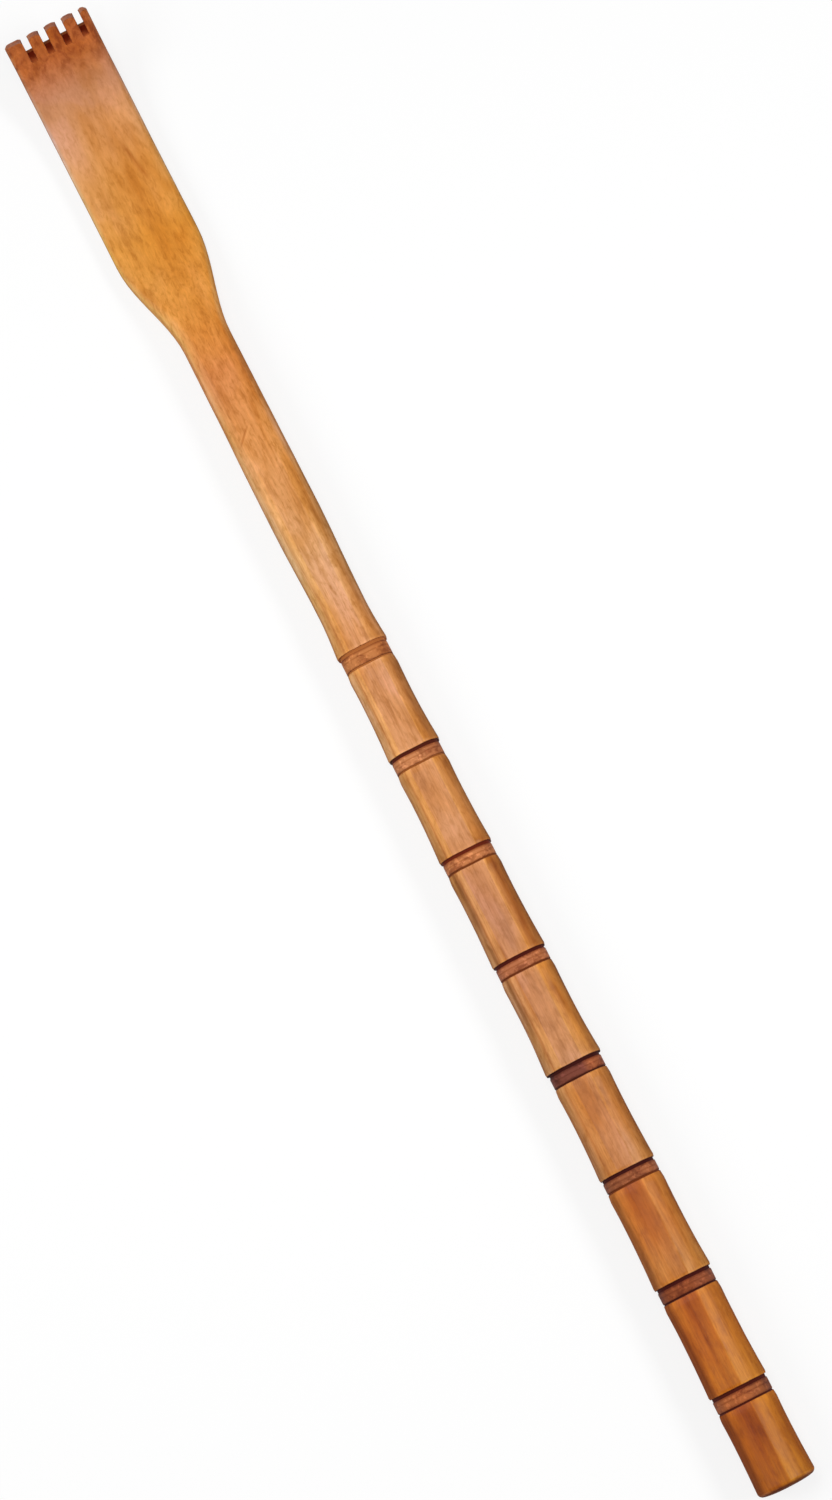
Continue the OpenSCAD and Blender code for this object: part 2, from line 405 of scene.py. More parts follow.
def carveClaws(body, shape, floorRing):
    lean = math.radians(shape["slotLean"])
    curl = math.radians(shape["curlAngle"])
    centre = Vector(floorRing["place"])
    half = shape["slotWide"] / 2
    gaps = [(place - half, place + half) for place in shape["slotPlaces"]]
    columnsFrom = bodyHigh.x - shape["columnLength"] * mm
    for gap in gaps:  # lines along the blade where the claws part
        for wall in gap:
            mesh = editMesh(body)
            selectOnly(body, [f for f in mesh.faces if f.calc_center_median().x > columnsFrom])
            bpy.ops.mesh.bisect(plane_co=(0, wall * mm, 0), plane_no=(0, 1, 0))

    mesh = editMesh(body)
    bpy.ops.mesh.select_mode(type="FACE")
    ahead = Vector((math.cos(curl + lean), 0, math.sin(curl + lean)))

    def isClaw(face):
        middle = face.calc_center_median()
        onFloor = abs((middle - centre).dot(ahead)) < nearFloor * mm
        return onFloor and not any(low < middle.y / mm < high for low, high in gaps)

    selectOnly(body, [f for f in mesh.faces if isClaw(f)])
    along = Vector((math.cos(curl), 0, math.sin(curl)))
    full = shape["clawLength"] - shape["clawRound"] - clawStart(shape)
    place = centre
    for i, share in enumerate(shape["clawSteps"]):
        step = along * full * share * mm
        place = place + step
        bpy.ops.mesh.extrude_region_move(TRANSFORM_OT_translate={"value": step})
        if i == 0:  # the ends of the claws stand square to them
            turnRing(-curl - lean, place)
            bpy.ops.transform.resize(value=(1, 1, math.cos(lean)), center_override=place)
            turnRing(curl, place)
    bpy.ops.mesh.inset(thickness=shape["clawRound"] * mm, depth=shape["clawRound"] * mm)

    mesh = editMesh(body)
    edgesFrom = centre.x - shape["slotEdgesFrom"] * mm
    edges = [e for e in mesh.edges if len(e.link_faces) == 2 and min(v.co.x for v in e.verts) > edgesFrom]
    sharp = math.radians(shape["slotEdgeAngle"])
    bpy.ops.mesh.select_mode(type="EDGE")
    selectOnly(body, [e for e in edges if e.calc_face_angle() > sharp])
    bpy.ops.transform.edge_crease(value=shape["slotCrease"])
    bpy.ops.mesh.select_all(action="SELECT")
    bpy.ops.mesh.remove_doubles(threshold=nearPoint * mm)
    bpy.ops.mesh.normals_make_consistent(inside=False)
    print("claws:", len(gaps), "slots cut")


# the last steps on every piece: a smooth skin with the slight unevenness of hand carving
handFinish = {"levels": 2, "carving": 0.2, "carvingSize": 22, "smoothAngle": 40}


def finishPiece(piece, finish):
    applyModifier(piece, "SUBSURF", levels=finish["levels"], render_levels=finish["levels"])
    carving = bpy.data.textures.get("knife_work") or bpy.data.textures.new("knife_work", "CLOUDS")
    carving.noise_scale = finish["carvingSize"] * mm
    applyModifier(piece, "DISPLACE", texture=carving, strength=finish["carving"] * mm, mid_level=0.5)
    makeActive(piece)
    bpy.ops.object.shade_smooth_by_angle(angle=math.radians(finish["smoothAngle"]))
    piece.vertex_groups.clear()


body, floorRing = carveBody(bodyShape)
carveClaws(body, bodyShape, floorRing)
finishPiece(body, handFinish)


# bands in the grooves: one ring with a wall, then a copy fitted to each groove, a little short of its edges

bandShape = {"lipGap": 1.0, "heelGap": 0.4, "wall": 0.2, "edge": 0.12, "edgeSteps": 2, "edgeAngle": 68.75}


def makeBand():
    low, high = bandBoxes[0]
    band = startRing("groove_ring_1", (low.x, 0, (low.z + high.z) / 2))
    bpy.ops.mesh.delete(type="ONLY_FACE")
    bpy.ops.mesh.select_all(action="SELECT")
    bpy.ops.mesh.extrude_region_move(TRANSFORM_OT_translate={"value": (high.x - low.x, 0, 0)})
    clearSelection()
    return band


def fitBand(band, number, shape):
    low, high = bandBoxes[number]
    firstLow, firstHigh = bandBoxes[0]
    half = (high - low) / 2 / mm
    share = (number / (grooveCount - 1)) ** 2
    section = [half.y, half.z, mix(bodyShape["bevelHead"], bodyShape["bevelButt"], share),
               mix(bodyShape["cornerHead"], bodyShape["cornerButt"], share)]
    start = (heelX(number) + shape["heelGap"]) * mm
    end = (lipX(number) - shape["lipGap"]) * mm
    middle = (low.z + high.z) / 2
    makeActive(band)
    bpy.ops.object.mode_set(mode="EDIT")
    bpy.ops.mesh.select_mode(type="VERT")
    bpy.ops.mesh.select_all(action="SELECT")
    bpy.ops.transform.translate(value=(start - firstLow.x, 0, middle - (firstLow.z + firstHigh.z) / 2))
    stretch = (end - start) / (firstHigh.x - firstLow.x)
    bpy.ops.transform.resize(value=(stretch, 1, 1), center_override=(start, 0, middle))
    shapeRing(band, sectionPoints(*section), ((start + end) / 2, 0, middle))
    bpy.ops.mesh.normals_make_consistent(inside=False)
    clearSelection()
    applyModifier(band, "SOLIDIFY", thickness=shape["wall"] * mm, offset=-1)
    applyModifier(band, "BEVEL", width=shape["edge"] * mm, segments=shape["edgeSteps"],
                  limit_method="ANGLE", angle_limit=math.radians(shape["edgeAngle"]))
    finishPiece(band, handFinish)


bandStart = makeBand()
bands = [bandStart]
for i in range(1, grooveCount):
    copy = bandStart.copy()
    copy.data = bandStart.data.copy()
    copy.name = copy.data.name = f"groove_ring_{i + 1}"
    bpy.context.collection.objects.link(copy)
    bands.append(copy)
for i, band in enumerate(bands):
    fitBand(band, i, bandShape)
print("bands:", len(bands), "fitted to their grooves")

for i, band in enumerate(bands):
    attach(band, "root")
    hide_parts(f"groove_band_{i + 1}")
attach(body, "root")
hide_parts("carved_body")


# materials, all on object coordinates

def linear(red, green, blue):  # colour as seen, 0 to 255, to the shader's own scale
    def one(value):
        value /= 255
        return value / 12.92 if value <= 0.04045 else ((value + 0.055) / 1.055) ** 2.4
    return (one(red), one(green), one(blue), 1)


def grey(value):
    return (value, value, value, 1)


def greys(stops):  # stops are (place, share)
    return [(place, grey(share)) for place, share in stops]


def tones(stops):  # stops are (place, tone), where 1 leaves a colour as it is
    return [(place, (*tone, 1)) for place, tone in stops]


def addNode(tree, kind, inputs=None, **settings):
    node = tree.nodes.new("ShaderNode" + kind)
    for key, value in settings.items():
        setattr(node, key, value)
    for key, value in (inputs or {}).items():
        if isinstance(value, bpy.types.NodeSocket):
            tree.links.new(value, node.inputs[key])
        else:
            node.inputs[key].default_value = value
    return node


def mathNode(tree, operation, first, *others):  # one value, or two and more taken one after another
    for other in others or (0.0,):
        first = addNode(tree, "Math", {0: first, 1: other}, operation=operation).outputs[0]
    return first


def rangeNode(tree, value, low, high, toLow=0.0, toHigh=1.0):
    return addNode(tree, "MapRange", {0: value, 1: low, 2: high, 3: toLow, 4: toHigh}).outputs[0]


def rampNode(tree, share, stops, smooth=True):  # stops are (share, colour)
    node = addNode(tree, "ValToRGB", {"Fac": share})
    ramp = node.color_ramp
    ramp.interpolation = "EASE" if smooth else "LINEAR"
    while len(ramp.elements) < len(stops):
        ramp.elements.new(1)
    for element, (place, colour) in zip(ramp.elements, stops):
        element.position = place
        element.color = colour
    return node.outputs["Color"]


def spreadRamp(tree, value, low, high, stops):  # stops are (value, colour), between low and high
    share = rangeNode(tree, value, low, high)
    stops = [((place - low) / (high - low), colour) for place, colour in stops]
    return rampNode(tree, share, stops, smooth=False)


def tint(tree, colour, by, share=1.0, blend="MULTIPLY"):
    node = addNode(tree, "Mix", {"Factor": share, 6: colour, 7: by}, data_type="RGBA", blend_type=blend)
    return node.outputs[2]


def noiseNode(tree, coords, scale, detail=3.0, roughness=0.55, distortion=0.0, start=(0, 0, 0)):
    stretched = addNode(tree, "Mapping", {"Vector": coords, "Location": start, "Scale": scale}).outputs[0]
    return addNode(tree, "TexNoise", {"Vector": stretched, "Scale": 1.0, "Detail": detail,
                                      "Roughness": roughness, "Distortion": distortion}).outputs["Fac"]


def newMaterial(name):
    material = bpy.data.materials.new(name)
    material.use_nodes = True
    tree = material.node_tree
    return material, tree, tree.nodes["Principled BSDF"]


def surfacePlace(tree):  # where a point of the surface lies
    coords = addNode(tree, "TexCoord").outputs["Object"]
    parts = addNode(tree, "SeparateXYZ", {0: coords}).outputs
    return {"coords": coords, "x": parts["X"], "y": parts["Y"]}


def surfaceFacing(tree):  # which way it faces
    normal = addNode(tree, "NewGeometry").outputs["Normal"]
    return addNode(tree, "SeparateXYZ", {0: normal}).outputs


def alongStick(tree, x, stops):  # colour by place along the stick, places in mm
    return spreadRamp(tree, x, cadLow.x, cadHigh.x, [(place * mm, colour) for place, colour in stops])


def acrossStick(tree, y, stops):  # colour by place across it, right of the photo first
    return spreadRamp(tree, y, cadLow.y, cadHigh.y, [(place * mm, colour) for place, colour in stops])


grooveReach = 6  # how far from its middle a groove marks the wood, in mm


def byGroove(tree, x, values):  # one value for each groove, from the head to the butt
    return alongStick(tree, x, [(grooveX(i), values[i]) for i in reversed(range(grooveCount))])


# grooves passed since the last one, and mm from the middle of a groove: once for its lip and once for
# its heel, each put right by how far that edge lies from an even spacing
def fromGroove(tree, x):
    pitch = grooveX(0) - grooveX(1)
    turns = mathNode(tree, "DIVIDE", mathNode(tree, "SUBTRACT", x, grooveX(grooveCount - 1) * mm), pitch * mm)
    middle = mathNode(tree, "SUBTRACT", mathNode(tree, "FRACT", mathNode(tree, "ADD", turns, 0.5)), 0.5)
    across = mathNode(tree, "MULTIPLY", middle, pitch)
    shifts = list(zip(bodyShape["lipShift"], bodyShape["heelShift"]))
    shift = byGroove(tree, x, [(lip + grooveReach, heel + grooveReach, 0, 1) for lip, heel in shifts])
    parts = addNode(tree, "SeparateColor", {0: shift}).outputs
    start = mathNode(tree, "ADD", across, grooveReach)  # ramps hold no value below zero
    return turns, mathNode(tree, "SUBTRACT", start, parts[0]), mathNode(tree, "SUBTRACT", start, parts[1])


def acrossGroove(tree, across, stops):  # colour by mm from the middle of a groove
    return spreadRamp(tree, across, -grooveReach, grooveReach, stops)


# lacquered wood of the body: places in mm, tones multiply the colour, shares run from 0 to 1

woodLook = {
    # the colour of the wood at places along the stick
    "tones": ((-250, (166, 92, 14)), (-205, (174, 96, 20)), (-150, (186, 114, 50)), (-110, (184, 124, 71)),
              (-60, (182, 122, 73)), (-25, (194, 134, 82)), (35, (200, 138, 82)), (62, (199, 145, 91)),
              (100, (208, 142, 80)), (128, (198, 122, 58)), (150, (210, 138, 58)), (178, (198, 126, 40)),
              (200, (200, 132, 60)), (218, (196, 132, 76)), (230, (178, 116, 70)), (240, (162, 84, 34)),
              (250, (158, 82, 34))),
    # tone by the way a facet faces, with painted highlight and painted sheen on the flats and corner strips
    # and painted shade on the sides: -1 to the right of the photo, 0 up or down, 1 to the left
    "headFacetShading": ((-1.0, (0.52, 0.52, 0.48)), (-0.85, (0.88, 1.0, 1.3)), (-0.5, (0.92, 0.88, 0.7)),
                   (-0.1, (1, 1, 1)), (0.2, (1, 1, 1)), (0.45, (1.0, 1.08, 1.15)), (0.8, (1.06, 1.4, 2.0)),
                   (1.0, (0.66, 0.68, 0.76))),
    "upperFacetShading": ((-1.0, (0.34, 0.24, 0.1)), (-0.88, (0.58, 0.48, 0.25)), (-0.68, (0.8, 0.66, 0.36)),
                    (-0.44, (0.86, 0.73, 0.42)), (-0.3, (0.98, 0.92, 0.68)), (-0.19, (1.1, 1.1, 0.95)),
                    (-0.09, (1.14, 1.18, 1.12)), (-0.03, (1.0, 1.0, 1.18)), (0.05, (1.0, 1.0, 1.18)),
                    (0.16, (1.16, 1.2, 1.1)), (0.4, (1.22, 1.28, 1.14)), (0.52, (0.84, 0.7, 0.48)),
                    (0.62, (1.02, 1.08, 1.1)), (0.85, (0.98, 1.18, 1.5)), (1.0, (0.58, 0.56, 0.54))),
    "lowerFacetShading": ((-1.0, (0.36, 0.28, 0.14)), (-0.9, (0.8, 0.82, 0.6)), (-0.7, (0.98, 1.08, 1.0)),
                    (-0.52, (1.02, 1.12, 1.06)), (-0.4, (1.13, 1.32, 1.7)), (-0.22, (1.2, 1.46, 2.1)),
                    (-0.04, (1, 1, 1)), (0.06, (0.98, 0.96, 0.9)), (0.3, (0.92, 0.82, 0.56)),
                    (0.48, (1.08, 1.02, 0.74)), (0.7, (0.92, 0.78, 0.5)), (0.84, (0.5, 0.36, 0.2)),
                    (1.0, (0.4, 0.29, 0.18))),
    "headFrom": ((-60, 0), (30, 0.25), (60, 0.4), (110, 1)),
    "lowerFrom": ((-205, 1), (-165, 0.7), (-130, 0.25), (-95, 0)),
    # tone across the blade, from its middle: a painted sheen that pales it toward the edges
    "bladeSheen": ((-14, (1.0, 1.15, 1.6)), (-9, (1.08, 1.12, 1.25)), (-4, (0.96, 0.92, 0.8)),
                    (0, (1, 1, 1)), (5, (1.06, 1.14, 1.4)), (10, (1.08, 1.2, 1.75)), (14, (1.08, 1.24, 2.0))),
    "bladeFrom": ((120, 0), (165, 1), (212, 1), (232, 0.2)),
    # soft darker and paler marks: the middle of each, its slope, length and width, and its tone
    "marks": (((202, -6), 0.18, 17, 2.2, (0.76, 0.62, 0.42)),
              ((105, 2.8), -0.89, 6, 1.5, (0.74, 0.6, 0.42)),
              ((105.8, 1.2), -0.89, 5, 1.8, (1.14, 1.2, 1.3)),
              ((-53, 6.5), 0, 34, 2.2, (0.5, 0.37, 0.2)),
              ((-84, 6.5), 0, 36, 2.2, (0.5, 0.37, 0.2)),
              ((-84, 3.75), 0, 40, 2.4, (0.72, 0.57, 0.4)),
              ((11, -6.9), 0, 44, 4.4, (0.74, 0.66, 0.48)),
              ((-60, -5.9), 0, 44, 3.6, (0.74, 0.6, 0.32)),
              ((-62, -3.4), 0, 44, 4.4, (1.17, 1.2, 1.15)),
              ((-92, -5.8), 0, 48, 8, (1.22, 1.28, 1.1)),
              ((-157, 1.6), 0, 42, 9, (0.84, 0.7, 0.42)),
              ((-237, 0), 0, 26, 5, (0.76, 0.66, 0.58))),
    # dark patch at the head end of each lower segment, and a paler lip end: shares of the segment
    # from its lip, shares between the two sides, and how strong they are along the stick
    "patch": (0.7, 0.5, 0.22), "patchAlong": ((0.3, 0), (0.75, 0.7), (0.93, 1), (0.98, 0)),
    "patchSides": (-7, 9), "patchAcross": ((0.2, 0), (0.4, 1), (0.58, 1), (0.8, 0)),
    "patchFrom": ((-235, 0.7), (-205, 1), (-150, 1), (-125, 0.6), (-95, 0.35), (20, 0.28), (30, 0)),
    "patchClouds": (0.2, 0.5, 0.75),
    "pale": (1.06, 1.32, 2.4), "paleAlong": ((0.08, 1), (0.56, 0)),
    "paleFrom": ((-210, 0.4), (-178, 1), (-125, 0.9), (-105, 0)),
    # dark end grain at the butt, partly end grain and partly painted shade where the end turns away, inside a
    # rim with a painted highlight that is paler on the right
    "butt": (0.36, 0.25, 0.12), "buttReach": 10, "buttFacing": (-0.42, -0.75),
    "rim": (1.25, 1.36, 1.6), "rimHighlightFacing": ((0.05, 0), (0.2, 1), (0.42, 0)), "rimHighlightSides": (5, -6),
    # growth rings cut on a slant, in degrees
    "ringTones": ((0.0, (0.88, 0.83, 0.74)), (0.55, (1, 1, 1))), "ringShare": 0.5,
    "ringStart": (0, 0.004, 0.03), "ringSlant": (0, 2.2, 0.5),
    "ringWave": {"Scale": 80.0, "Distortion": 2.2, "Detail": 2.0, "Detail Scale": 0.4},
    # layers of the grain: each has its noise (scale along, across and through, detail, roughness, bend
    # and start), the tones that it gives, and its strength along the stick
    "grain": {
        "streaks": {"noise": ((14, 380, 380), 4.0, 0.6, 0.4),
                    "tones": ((0.3, (0.84, 0.76, 0.6)), (0.5, (1, 1, 1)), (0.7, (1.07, 1.07, 1.06))),
                    "from": ((-250, 1), (30, 0.9), (110, 0.75), (170, 0.4), (220, 0.3))},
        "fibres": {"noise": ((60, 2100, 2100), 2.0),
                   "tones": ((0.3, (0.9, 0.86, 0.78)), (0.6, (1.04, 1.04, 1.04))),
                   "from": ((-250, 1), (30, 0.9), (110, 0.75), (170, 0.4), (220, 0.3))},
        "flecks": {"noise": ((330, 900, 900), 3.0, 0.6, 0.5),
                   "tones": ((0.33, (0.8, 0.72, 0.54)), (0.5, (1, 1, 1)), (0.68, (1.12, 1.13, 1.2))),
                   "from": ((-40, 0.55), (60, 0.75), (150, 0.8), (230, 0.5))},
        "mottle": {"noise": ((110, 300, 300), 3.0, 0.6, 0.4, (7, 3, 0)),
                   "tones": ((0.3, (0.8, 0.72, 0.54)), (0.5, (1, 1, 1)), (0.7, (1.1, 1.12, 1.2))),
                   "from": ((40, 1), (150, 0.6), (231, 0.45), (240, 1))},
        "pools": {"noise": ((38, 105, 105), 2.0, 0.5, 0.5, (3, 1, 0)),
                  "tones": ((0.34, (0.9, 0.82, 0.6)), (0.5, (1, 1, 1)), (0.66, (1.04, 1.08, 1.35))),
                  "from": ((-250, 1), (250, 1))},
        "clawStain": {"noise": ((260, 420, 260), 3.0, 0.6, 0.5, (2, 5, 0)),
                      "tones": ((0.36, (0.7, 0.58, 0.44)), (0.5, (1, 1, 1)), (0.64, (1.2, 1.3, 1.3))),
                      "from": ((231, 0), (241, 1))},
    },
    "slowNoise": ((60, 160, 160), 2.0), "waver": 0.24,
    # stain and painted shade on the two walls of each groove, from the head to the butt; where it ends at the
    # edges and in the middle of the groove; and the paler wood beside it, worn and with a painted highlight
    "lipStainAndShade": ((162, 94, 44), (66, 10, 0), (94, 26, 2), (64, 9, 0),
                (50, 4, 0), (52, 4, 0), (58, 5, 0), (66, 12, 0)),
    "heelStainAndShade": ((164, 96, 44), (146, 80, 32), (112, 52, 12), (104, 44, 8),
                 (56, 10, 0), (104, 44, 8), (54, 8, 0), (66, 12, 0)),
    "lipFade": (0, 0.18), "heelFade": (-0.1, -0.3), "middleFade": 0.4,
    # paler edges beside the cuts: wear, with a painted highlight on their rounded edges
    "wearAndSheen": (1.2, 1.24, 1.3), "lipWearAndSheen": ((0, 0), (0.2, 1), (1.0, 0)),
    "heelWearAndSheen": ((-2.8, 0), (-1.6, 0.35), (-0.6, 0.8), (-0.2, 0.8), (0, 0)),
    # painted shade in the slots between the claws, from one distance behind the tips to the other; it fades
    # on the floors, and the walls take less
    "slot": (126, 33, 0), "slotFrom": 22, "slotTo": 4.5, "slotFade": 2.4, "slotLeast": 0.3,
    "floorFacing": ((0.05, 0), (0.12, 1), (0.45, 1), (0.6, 0)), "floorUp": 0.3,
    "wallFacing": 0.9, "wallReach": 12.6, "wallShade": 0.6,
    # sheen, matt on the sides, on the cuts and on the end grain
    "roughness": (0.36, 0.5), "sheenClouds": (0.3, 0.7), "mattRoughness": 0.85, "mattFacing": (0.45, 0.85),
    "specular": 0.17, "bump": 0.14, "bumpDepth": 0.3, "fibreBump": 0.5,
}


def layFacetShading(tree, at, look, colour):  # flat top and corner strips with painted sheen and painted highlight, bevels, and sides with painted shade
    def byFacing(stops):
        return spreadRamp(tree, at["normal"]["Y"], -1, 1, tones(stops))

    lower = alongStick(tree, at["x"], greys(look["lowerFrom"]))
    head = alongStick(tree, at["x"], greys(look["headFrom"]))
    facets = tint(tree, byFacing(look["upperFacetShading"]), byFacing(look["lowerFacetShading"]), lower, "MIX")
    facets = tint(tree, facets, byFacing(look["headFacetShading"]), head, "MIX")
    colour = tint(tree, colour, facets)
    onBlade = alongStick(tree, at["x"], greys(look["bladeFrom"]))
    return tint(tree, colour, acrossStick(tree, at["y"], tones(look["bladeSheen"])), onBlade)


def layMarks(tree, at, look, colour):  # on the upper side only
    above = mathNode(tree, "GREATER_THAN", at["normal"]["Z"], 0.0)
    for (along, across), slope, length, width, tone in look["marks"]:
        ahead = mathNode(tree, "SUBTRACT", at["x"], along * mm)
        off = mathNode(tree, "SUBTRACT", at["y"], across * mm)
        off = mathNode(tree, "SUBTRACT", off, mathNode(tree, "MULTIPLY", ahead, slope))
        thin = rangeNode(tree, mathNode(tree, "ABSOLUTE", off), 0.0, width / 2 * mm, 1.0, 0.0)
        ends = rangeNode(tree, mathNode(tree, "ABSOLUTE", ahead), length / 4 * mm, length / 2 * mm, 1.0, 0.0)
        colour = tint(tree, colour, (*tone, 1), mathNode(tree, "MULTIPLY", thin, ends, above))
    return colour


def layPatches(tree, at, look, colour, turns, slow):
    share = mathNode(tree, "FRACT", turns)
    right, left = look["patchSides"]
    ends = rampNode(tree, share, greys(look["patchAlong"]))
    middle = rampNode(tree, rangeNode(tree, at["y"], right * mm, left * mm), greys(look["patchAcross"]))
    strength = alongStick(tree, at["x"], greys(look["patchFrom"]))
    clouds = rangeNode(tree, slow, *look["patchClouds"])
    patch = mathNode(tree, "MULTIPLY", ends, middle, strength, clouds)
    colour = tint(tree, colour, (*look["patch"], 1), patch)
    pale = rampNode(tree, share, greys(look["paleAlong"]))
    strength = alongStick(tree, at["x"], greys(look["paleFrom"]))
    return tint(tree, colour, (*look["pale"], 1), mathNode(tree, "MULTIPLY", pale, strength))


# painted shade on the end grain, and a painted highlight on its rim
def layButtShading(tree, at, look, colour):
    onButt = mathNode(tree, "LESS_THAN", at["x"], cadLow.x + look["buttReach"] * mm)
    left, right = look["rimHighlightSides"]
    rim = rampNode(tree, mathNode(tree, "MULTIPLY", at["normal"]["X"], -1.0), greys(look["rimHighlightFacing"]))
    rim = mathNode(tree, "MULTIPLY", rim, rangeNode(tree, at["y"], left * mm, right * mm), onButt)
    colour = tint(tree, colour, (*look["rim"], 1), rim)
    endGrainAndShade = rangeNode(tree, at["normal"]["X"], *look["buttFacing"])
    endGrainAndShade = mathNode(tree, "MULTIPLY", endGrainAndShade, onButt)
    return tint(tree, colour, (*look["butt"], 1), endGrainAndShade), endGrainAndShade


def layGrain(tree, at, look, colour):
    slant = [math.radians(angle) for angle in look["ringSlant"]]
    turned = addNode(tree, "Mapping", {"Vector": at["coords"], "Location": look["ringStart"],
                                       "Rotation": slant})
    rings = addNode(tree, "TexWave", {"Vector": turned.outputs[0], **look["ringWave"]},
                    wave_type="RINGS", rings_direction="X").outputs["Fac"]
    colour = tint(tree, colour, rampNode(tree, rings, tones(look["ringTones"])), look["ringShare"])
    noises = {}
    for name, layer in look["grain"].items():
        noises[name] = noiseNode(tree, at["coords"], *layer["noise"])
        strength = alongStick(tree, at["x"], greys(layer["from"]))
        colour = tint(tree, colour, rampNode(tree, noises[name], tones(layer["tones"])), strength)
    return colour, noises


def layCuts(tree, at, look, colour, fromLip, fromHeel):  # paler edges, worn and with a painted highlight, and dark cuts, stained and with painted shade, at every groove
    onHandle = mathNode(tree, "LESS_THAN", at["x"], (grooveX(0) + grooveReach) * mm)
    lip, heel = grooveHalf, -grooveHalf
    heelWearAndSheen = acrossGroove(tree, fromHeel, greys((heel + off, share) for off, share in look["heelWearAndSheen"]))
    lipWearAndSheen = acrossGroove(tree, fromLip, greys((lip + off, share) for off, share in look["lipWearAndSheen"]))
    wearAndSheen = mathNode(tree, "MULTIPLY", mathNode(tree, "MAXIMUM", heelWearAndSheen, lipWearAndSheen), onHandle)
    colour = tint(tree, colour, (*look["wearAndSheen"], 1), wearAndSheen)

    fade = look["middleFade"]
    dark, clear = look["heelFade"]
    heelStops = ((heel + clear, 0), (heel + dark, 1), (0, 1), (fade, 0))
    dark, clear = look["lipFade"]
    lipStops = ((-fade, 0), (0, 1), (lip + dark, 1), (lip + clear, 0))
    shares = []
    for walls, across, stops in (("heelStainAndShade", fromHeel, heelStops), ("lipStainAndShade", fromLip, lipStops)):
        tone = byGroove(tree, at["x"], [linear(*tone) for tone in look[walls]])
        shares.append(mathNode(tree, "MULTIPLY", acrossGroove(tree, across, greys(stops)), onHandle))
        colour = tint(tree, colour, tone, shares[-1], "MIX")
    return colour, mathNode(tree, "MAXIMUM", *shares)


def laySlotShade(tree, at, look, colour, sideways):  # painted shade on the floors and walls of the slots
    x, normal = at["x"], at["normal"]
    floorX = floorRing["place"][0]
    onHead = mathNode(tree, "GREATER_THAN", x, cadHigh.x - look["slotFrom"] * mm)
    facing = rampNode(tree, normal["X"], greys(look["floorFacing"]))
    upward = mathNode(tree, "GREATER_THAN", normal["Z"], look["floorUp"])
    behindTips = mathNode(tree, "LESS_THAN", x, cadHigh.x - look["slotTo"] * mm)
    depth = rangeNode(tree, x, floorX - look["slotFade"] * mm, floorX, look["slotLeast"])
    floors = mathNode(tree, "MULTIPLY", facing, upward, behindTips, depth)
    inner = mathNode(tree, "LESS_THAN", mathNode(tree, "ABSOLUTE", at["y"]), look["wallReach"] * mm)
    walls = mathNode(tree, "MULTIPLY", mathNode(tree, "GREATER_THAN", sideways, look["wallFacing"]), inner,
                     look["wallShade"])
    slotShaded = mathNode(tree, "MULTIPLY", mathNode(tree, "MAXIMUM", floors, walls), onHead)
    return tint(tree, colour, linear(*look["slot"]), slotShaded, "MIX"), slotShaded


def layBump(tree, shader, look, height):
    depth = look["bumpDepth"] * mm
    bump = addNode(tree, "Bump", {"Strength": look["bump"], "Distance": depth, "Height": height})
    tree.links.new(bump.outputs[0], shader.inputs["Normal"])


def makeWood(look):
    material, tree, shader = newMaterial("lacquered_wood")
    at = surfacePlace(tree)
    at["normal"] = surfaceFacing(tree)
    turns, fromLip, fromHeel = fromGroove(tree, at["x"])
    sideways = mathNode(tree, "ABSOLUTE", at["normal"]["Y"])
    slow = noiseNode(tree, at["coords"], *look["slowNoise"])
    waver = mathNode(tree, "MULTIPLY", mathNode(tree, "SUBTRACT", slow, 0.5), look["waver"])
    fromLip = mathNode(tree, "ADD", fromLip, waver)
    fromHeel = mathNode(tree, "ADD", fromHeel, waver)

    colour = alongStick(tree, at["x"], [(place, linear(*tone)) for place, tone in look["tones"]])
    colour = layFacetShading(tree, at, look, colour)
    colour = layMarks(tree, at, look, colour)
    colour = layPatches(tree, at, look, colour, turns, slow)
    colour, endGrainAndShade = layButtShading(tree, at, look, colour)
    colour, noises = layGrain(tree, at, look, colour)
    colour, cuts = layCuts(tree, at, look, colour, fromLip, fromHeel)
    colour, slotShaded = laySlotShade(tree, at, look, colour, sideways)
    tree.links.new(colour, shader.inputs["Base Color"])

    matt = mathNode(tree, "MAXIMUM", endGrainAndShade, cuts, slotShaded)
    sheen = rangeNode(tree, noises["mottle"], *look["sheenClouds"], *look["roughness"])
    sides = rangeNode(tree, sideways, *look["mattFacing"], 0.0, look["mattRoughness"])
    cutRoughness = mathNode(tree, "MULTIPLY", matt, look["mattRoughness"])
    tree.links.new(mathNode(tree, "MAXIMUM", sheen, sides, cutRoughness), shader.inputs["Roughness"])
    shader.inputs["Specular IOR Level"].default_value = look["specular"]
    fibres = mathNode(tree, "MULTIPLY", noises["fibres"], look["fibreBump"])
    layBump(tree, shader, look, mathNode(tree, "ADD", fibres, noises["streaks"]))
    return material


# matt red-brown stain of the bands

